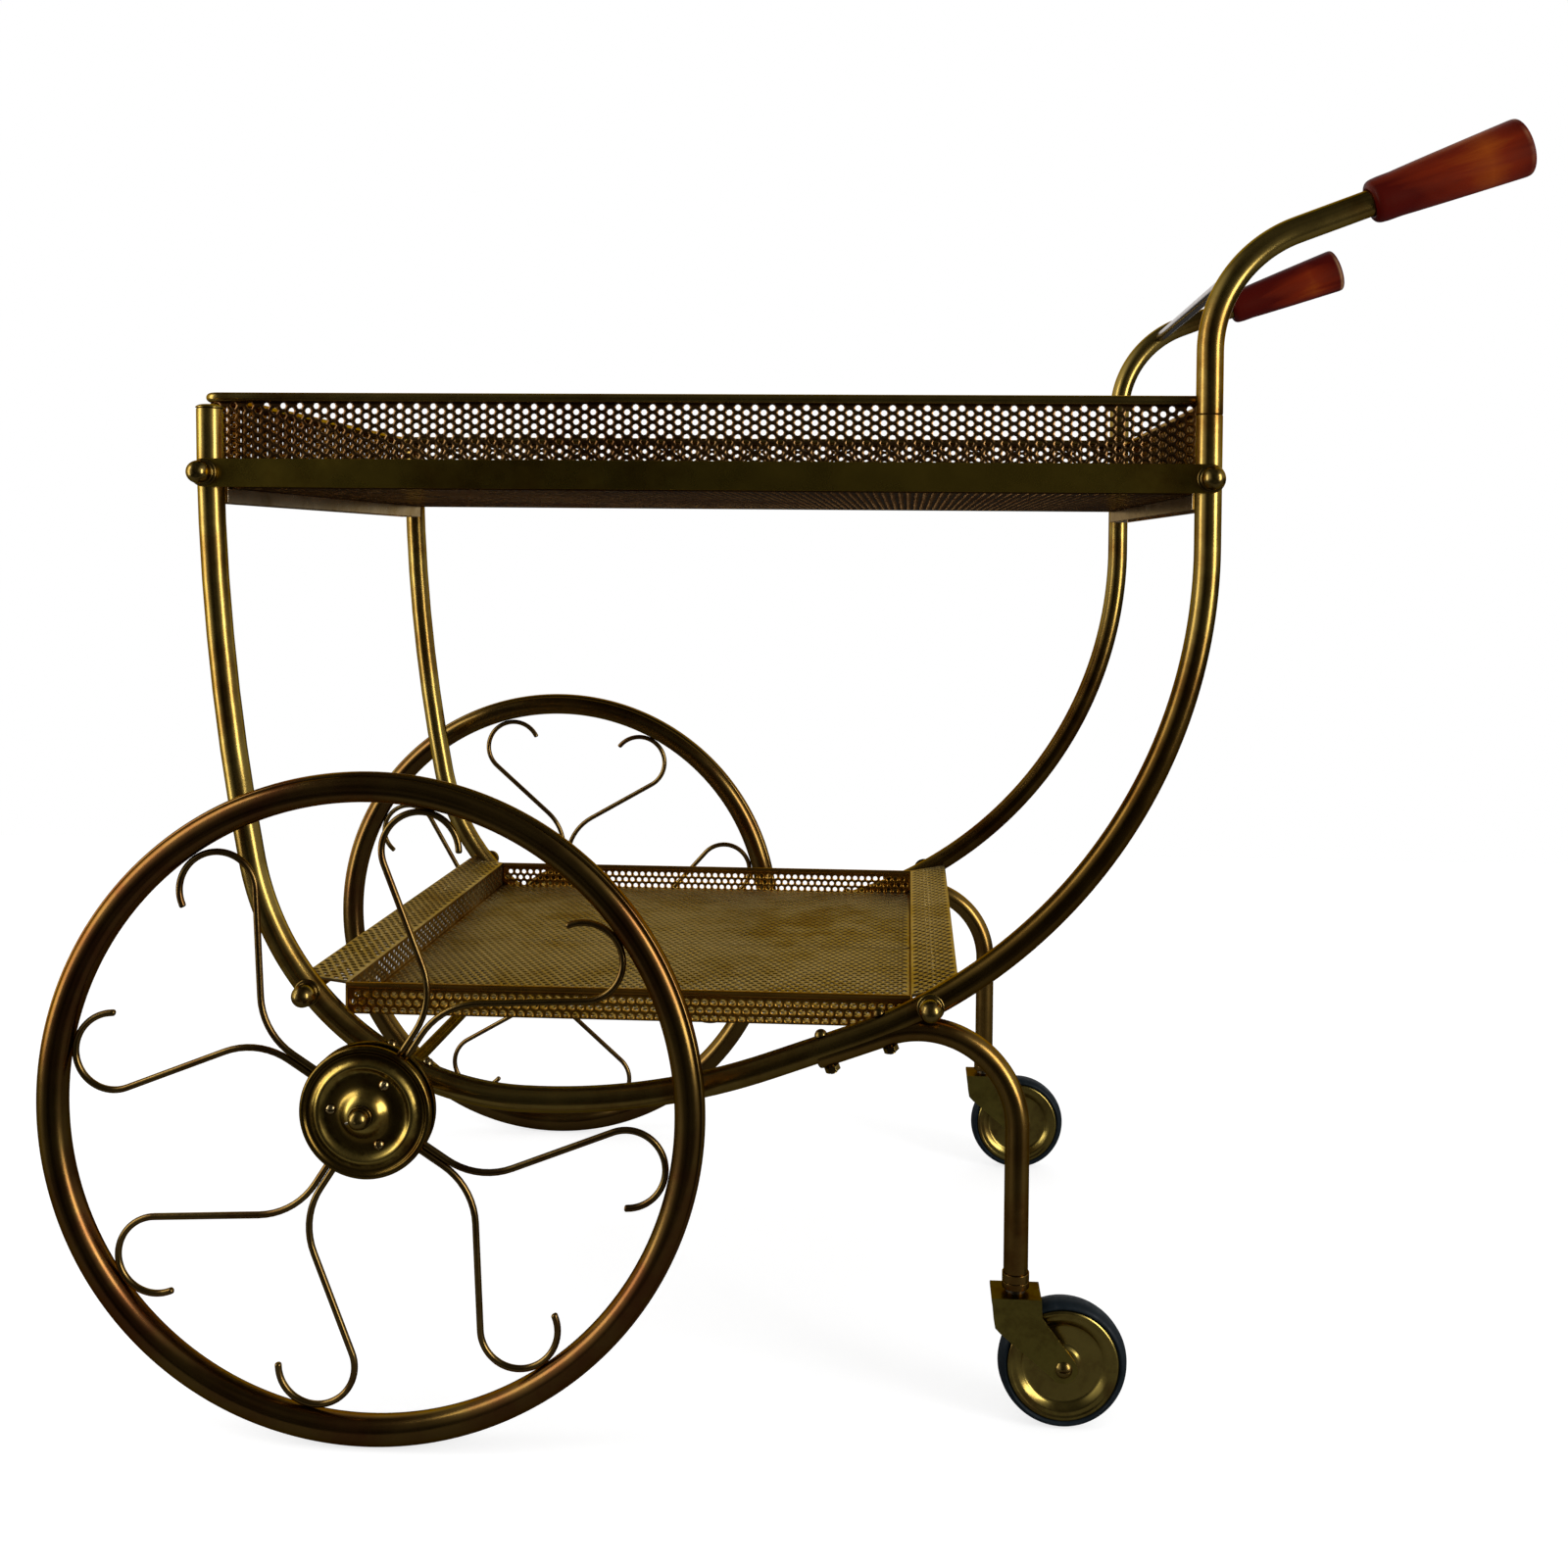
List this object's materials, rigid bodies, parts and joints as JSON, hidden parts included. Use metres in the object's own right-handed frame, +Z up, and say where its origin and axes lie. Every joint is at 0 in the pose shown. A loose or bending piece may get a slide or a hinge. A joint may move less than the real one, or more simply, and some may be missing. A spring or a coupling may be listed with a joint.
{
  "type": "serving trolley",
  "caption": "Tiered serving trolley of bent brass tube with perforated trays, big spoked wheels, swivel casters and tapered wooden grips.",
  "frame": {"origin": "on the floor, under the middle of the whole trolley", "axes": "+X towards the handles, +Y towards the far side, +Z up"},
  "size_m": [0.8792, 0.5452, 0.7889],
  "materials": {
    "tube_brass": "polished, slightly aged",
    "sheet_brass": "satin, perforated",
    "wheel_brass": "polished, darkened",
    "pressed_brass": "polished, pressed",
    "bright_brass": "polished",
    "plated_rod": "plated",
    "dull_steel": "plain",
    "wood_grip": "stained and varnished",
    "tyre_rubber": "matt"
  },
  "bodies": {
    "root": {"side_frame_near": "tube_brass", "side_frame_far": "tube_brass", "leg_caps": "tube_brass", "handle_tube_near": "tube_brass", "handle_tube_far": "tube_brass", "handle_spigots": "dull_steel", "grip_near": "wood_grip", "grip_far": "wood_grip", "handle_crossbar": "plated_rod", "side_band_near": "tube_brass", "side_band_far": "tube_brass", "end_channel_left": "tube_brass", "end_channel_right": "tube_brass", "upper_bolts": "dull_steel", "upper_washers": "bright_brass", "upper_ball_nuts": "bright_brass", "lower_rod_left": "dull_steel", "lower_rod_right": "dull_steel", "lower_washers": "bright_brass", "lower_ball_nuts": "bright_brass", "axle": "dull_steel", "axle_saddles": "tube_brass", "axle_screws": "dull_steel", "axle_spacers": "tube_brass", "axle_washers": "bright_brass", "axle_caps": "bright_brass", "split_pins": "dull_steel", "leg_near": "tube_brass", "leg_far": "tube_brass", "leg_bolts": "dull_steel", "leg_nuts": "dull_steel", "leg_ferrules": "tube_brass"},
    "upper_tray": {"upper_tray": "sheet_brass", "upper_tray_rim": "tube_brass"},
    "lower_tray": {"lower_tray": "sheet_brass"},
    "wheel_near": {"wheel_near_rim": "wheel_brass", "wheel_near_spokes": "wheel_brass", "wheel_near_outer_disc": "pressed_brass", "wheel_near_inner_disc": "pressed_brass", "wheel_near_bush": "dull_steel", "wheel_near_screws": "dull_steel"},
    "swivel_near": {"caster_near_fork": "pressed_brass", "caster_near_stem": "dull_steel", "caster_near_bolt": "tube_brass"},
    "caster_wheel_near": {"caster_near_tyre": "tyre_rubber", "caster_near_discs": "pressed_brass", "caster_near_bush": "dull_steel"},
    "wheel_far": {"wheel_far_rim": "wheel_brass", "wheel_far_spokes": "wheel_brass", "wheel_far_outer_disc": "pressed_brass", "wheel_far_inner_disc": "pressed_brass", "wheel_far_bush": "dull_steel", "wheel_far_screws": "dull_steel"},
    "swivel_far": {"caster_far_fork": "pressed_brass", "caster_far_stem": "dull_steel", "caster_far_bolt": "tube_brass"},
    "caster_wheel_far": {"caster_far_tyre": "tyre_rubber", "caster_far_discs": "pressed_brass", "caster_far_bush": "dull_steel"}
  },
  "joints": [
    {"name": "upper_tray_lift", "type": "slide", "parent": "root", "child": "upper_tray", "axis": [0, 0, 1], "range_m": [0, 0.1]},
    {"name": "lower_tray_lift", "type": "slide", "parent": "root", "child": "lower_tray", "axis": [0, 0, 1], "range_m": [0, 0.1]},
    {"name": "wheel_near_spin", "type": "hinge", "parent": "root", "child": "wheel_near", "pos_m": [-0.23984, -0.251, 0.1998], "axis": [0, 1, 0], "continuous": true},
    {"name": "wheel_far_spin", "type": "hinge", "parent": "root", "child": "wheel_far", "pos_m": [-0.23984, 0.251, 0.1998], "axis": [0, 1, 0], "continuous": true},
    {"name": "caster_near_swivel", "type": "hinge", "parent": "root", "child": "swivel_near", "pos_m": [0.14436, -0.2, 0.088], "axis": [0, 0, 1], "continuous": true},
    {"name": "caster_near_roll", "type": "hinge", "parent": "swivel_near", "child": "caster_wheel_near", "pos_m": [0.17306, -0.2, 0.0392], "axis": [0, 1, 0], "continuous": true},
    {"name": "caster_far_swivel", "type": "hinge", "parent": "root", "child": "swivel_far", "pos_m": [0.14436, 0.2, 0.088], "axis": [0, 0, 1], "continuous": true},
    {"name": "caster_far_roll", "type": "hinge", "parent": "swivel_far", "child": "caster_wheel_far", "pos_m": [0.17306, 0.2, 0.0392], "axis": [0, 1, 0], "continuous": true}
  ]
}
